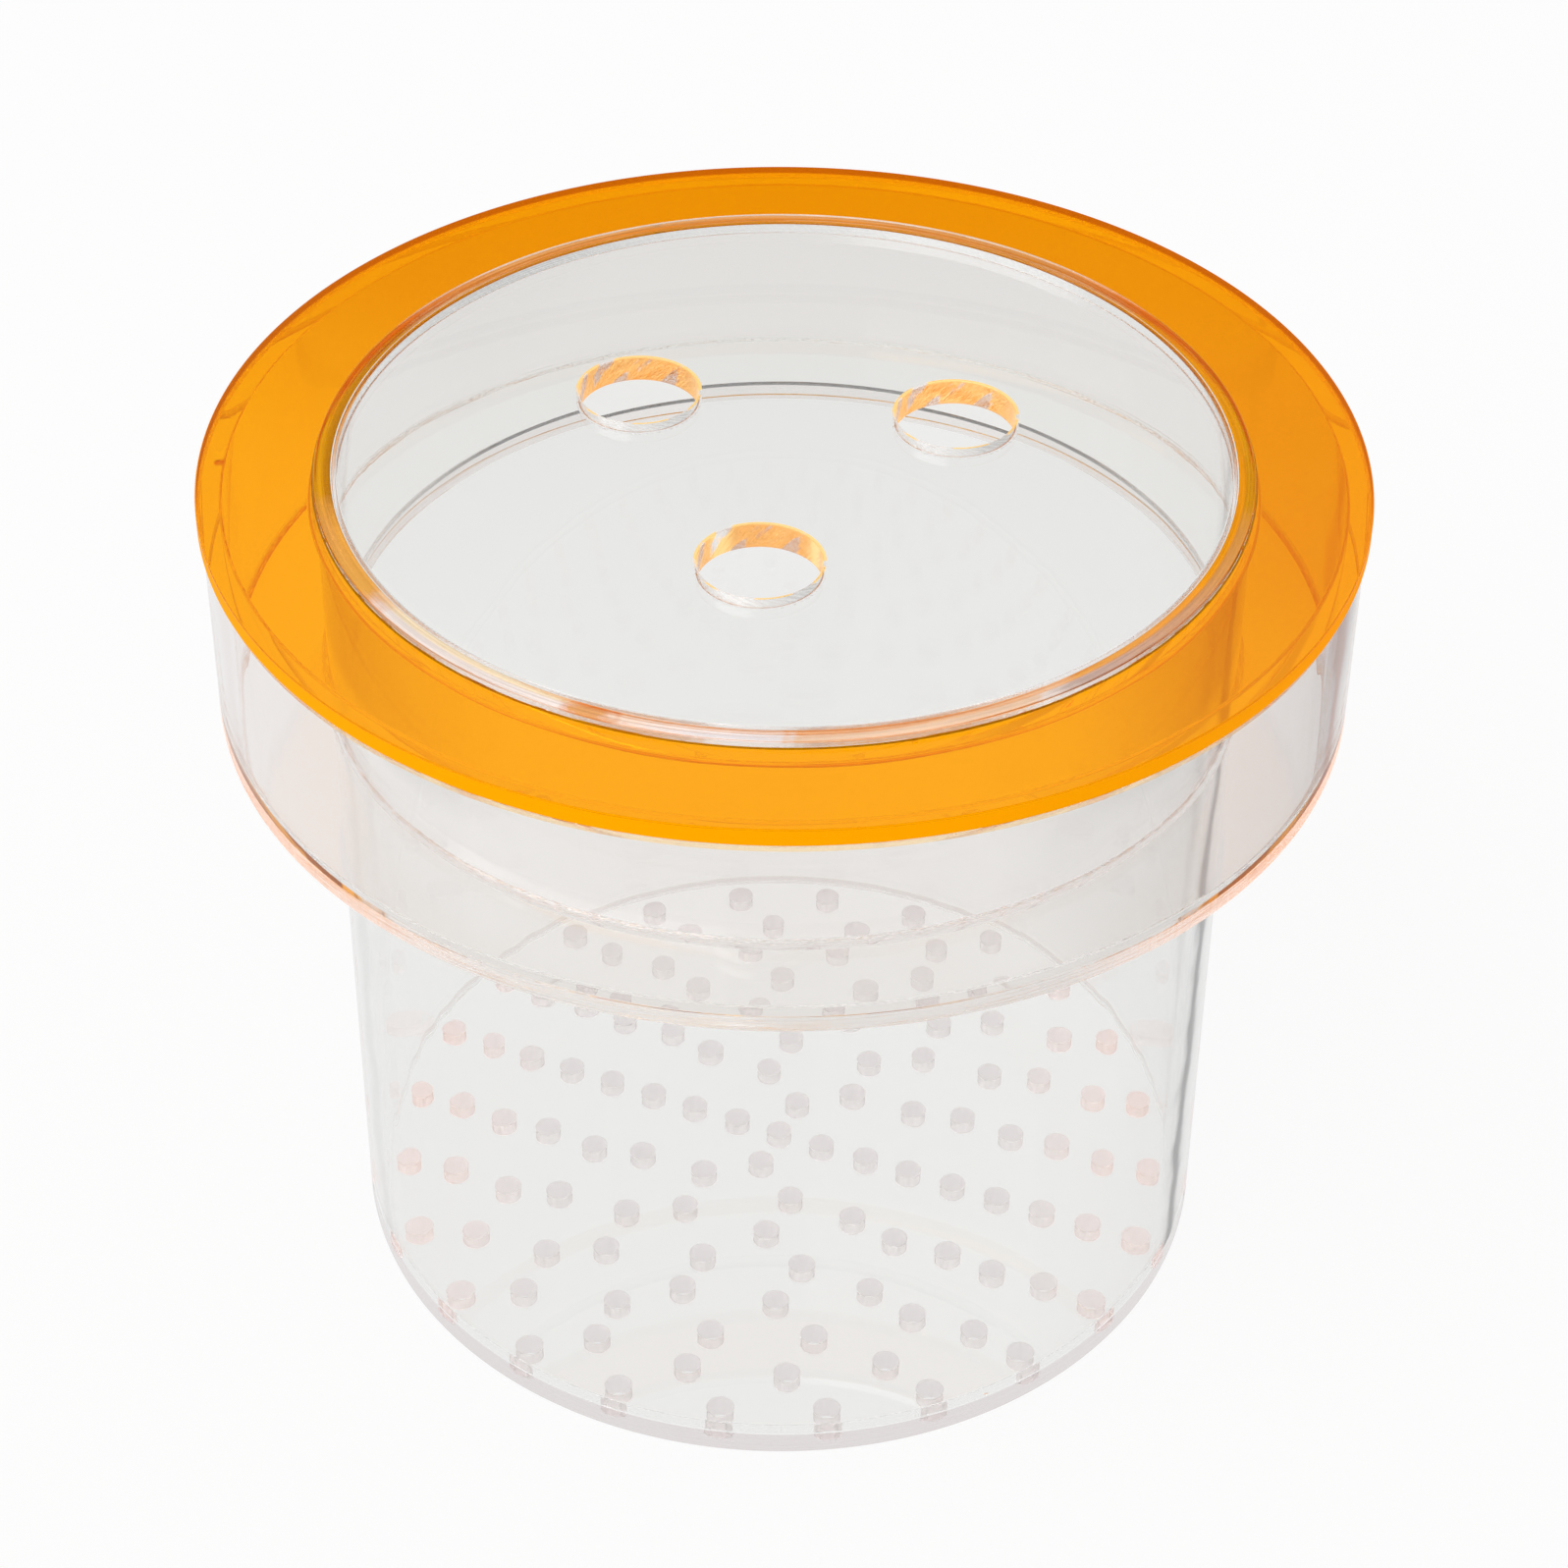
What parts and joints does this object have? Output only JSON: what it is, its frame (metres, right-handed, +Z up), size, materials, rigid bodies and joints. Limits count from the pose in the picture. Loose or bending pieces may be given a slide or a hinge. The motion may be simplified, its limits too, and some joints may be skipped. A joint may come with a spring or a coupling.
{
  "type": "aquarium breeder box",
  "caption": "Clear acrylic cup with a drilled floor, a sealed float ring with an orange cover round its upper end, and a loose lid with finger holes.",
  "frame": {"origin": "centre of the floor disc's underside, on the chamber's axis", "axes": "+Z up along the chamber's axis, -Y towards the viewer of the picture, +X to the right"},
  "size_m": [0.1248, 0.1248, 0.1018],
  "materials": {
    "clear_sheet": "clear cast acrylic sheet, polished faces, cut edges",
    "clear_tube": "clear acrylic tube, polished walls, sawn and faced ends",
    "orange_sheet": "translucent orange acrylic sheet, polished faces, glowing cut edges"
  },
  "bodies": {
    "box": {"floor_disc": "clear_sheet", "chamber_tube": "clear_tube", "float_floor": "clear_sheet", "float_wall": "clear_tube", "float_cover": "orange_sheet"},
    "lid": {"lid": "clear_sheet"}
  },
  "joints": [
    {"name": "lid_lift", "type": "slide", "parent": "box", "child": "lid", "axis": [0, 0, 1], "range_m": [0, 0.04]}
  ]
}
